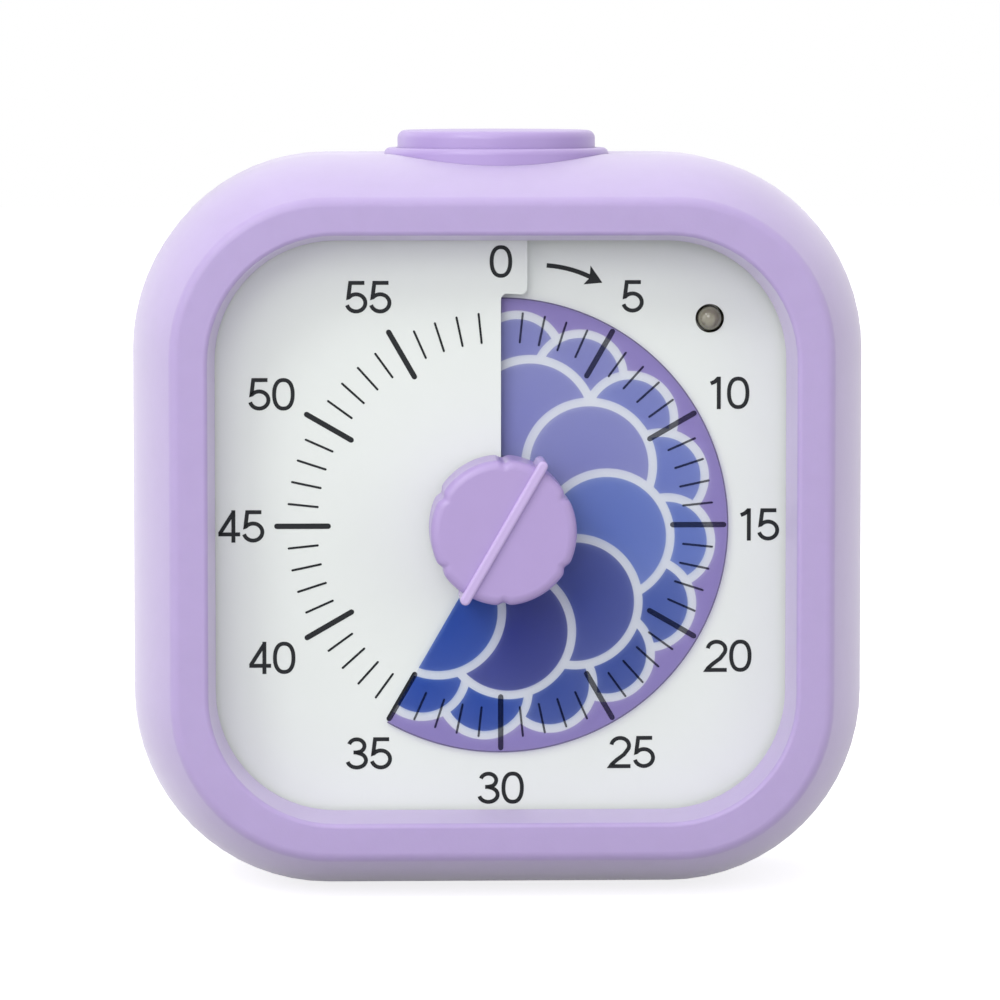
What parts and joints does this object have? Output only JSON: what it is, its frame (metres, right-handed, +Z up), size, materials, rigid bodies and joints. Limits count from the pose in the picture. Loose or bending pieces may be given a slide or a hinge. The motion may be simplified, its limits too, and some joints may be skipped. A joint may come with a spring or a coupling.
{
  "type": "visual countdown timer",
  "caption": "Square rounded countdown timer: recessed white minute dial, printed disc that winds away through a slit, turning knob and push button on top.",
  "frame": {"origin": "middle of the flat base under the body", "axes": "+X to the user's right, +Y to the rear, +Z up; the dial faces -Y"},
  "size_m": [0.09, 0.0461, 0.0929],
  "materials": {
    "lavender_abs": "fine spark-eroded matt",
    "white_card": "smooth matt white, printed",
    "printed_film": "translucent printed film",
    "black_plastic": "moulded",
    "white_plastic": "moulded acetal",
    "steel": "zinc plated",
    "brass": "turned",
    "copper_winding": "enamelled wire",
    "board": "solder mask",
    "lamp_epoxy": "clear moulded epoxy",
    "cell_sleeve": "plain sleeve"
  },
  "bodies": {
    "housing": {"body_shell": "lavender_abs", "rear_cover": "lavender_abs", "dial_card": "white_card", "dial_chassis": "black_plastic", "chassis_screws": "steel", "led_lens": "lamp_epoxy", "led_leads": "steel", "movement_cover": "white_plastic", "movement_base": "white_plastic", "movement_screws": "steel", "motor_stator": "steel", "motor_coil": "copper_winding", "centre_bush": "brass", "mounting_nut": "brass", "circuit_board": "board", "board_screws": "steel", "buzzer": "black_plastic", "tact_switch": "black_plastic", "sound_switch": "black_plastic", "battery_cells": "cell_sleeve", "contact_springs": "steel", "contact_plates": "steel", "housing_screws": "steel", "button_collar": "lavender_abs", "button_spring": "steel"},
    "slider": {"sound_slider": "black_plastic"},
    "door": {"battery_door": "lavender_abs"},
    "button": {"top_button": "lavender_abs", "button_clip": "steel"},
    "knob": {"knob": "lavender_abs", "spindle": "steel", "clutch_spring": "steel"},
    "disc": {"timer_disc": "printed_film", "disc_hub": "white_plastic"},
    "centre_wheel": {"centre_wheel": "brass"},
    "third_wheel": {"third_wheel": "white_plastic"},
    "second_wheel": {"second_wheel": "white_plastic"},
    "rotor": {"rotor": "black_plastic"}
  },
  "joints": [
    {"name": "dial_turn", "type": "hinge", "parent": "housing", "child": "knob", "pos_m": [0, 0, 0.045], "axis": [0, 1, 0], "range_deg": [-210, 150]},
    {"name": "disc_climb", "type": "slide", "parent": "knob", "child": "disc", "axis": [0, -1, 0], "range_m": [-0.00089, 0.00064]},
    {"name": "button_press", "type": "slide", "parent": "housing", "child": "button", "axis": [0, 0, -1], "range_m": [0, 0.0012], "stiffness_N_per_m": 400, "springref_m": -0.002, "deforming": ["button_spring"]},
    {"name": "door_tilt", "type": "hinge", "parent": "housing", "child": "door", "pos_m": [0, 0.01175, 0.01215], "axis": [-1, 0, 0], "range_deg": [0, 80]},
    {"name": "sound_slide", "type": "slide", "parent": "housing", "child": "slider", "axis": [1, 0, 0], "range_m": [-0.002, 0.002]},
    {"name": "centre_wheel_turn", "type": "hinge", "parent": "housing", "child": "centre_wheel", "pos_m": [0, 0, 0.045], "axis": [0, 1, 0], "continuous": true},
    {"name": "third_wheel_turn", "type": "hinge", "parent": "housing", "child": "third_wheel", "pos_m": [-0.00938, 0, 0.03713], "axis": [0, 1, 0], "continuous": true},
    {"name": "second_wheel_turn", "type": "hinge", "parent": "housing", "child": "second_wheel", "pos_m": [-0.00413, 0, 0.02803], "axis": [0, 1, 0], "continuous": true},
    {"name": "rotor_turn", "type": "hinge", "parent": "housing", "child": "rotor", "pos_m": [0.00573, 0, 0.03162], "axis": [0, 1, 0], "continuous": true}
  ],
  "couplings": [
    {"joint": "disc_climb", "follows": "dial_turn", "m_per_rad": 0.00023873},
    {"joint": "third_wheel_turn", "follows": "centre_wheel_turn", "ratio": -6},
    {"joint": "second_wheel_turn", "follows": "centre_wheel_turn", "ratio": 30},
    {"joint": "rotor_turn", "follows": "centre_wheel_turn", "ratio": -150}
  ]
}
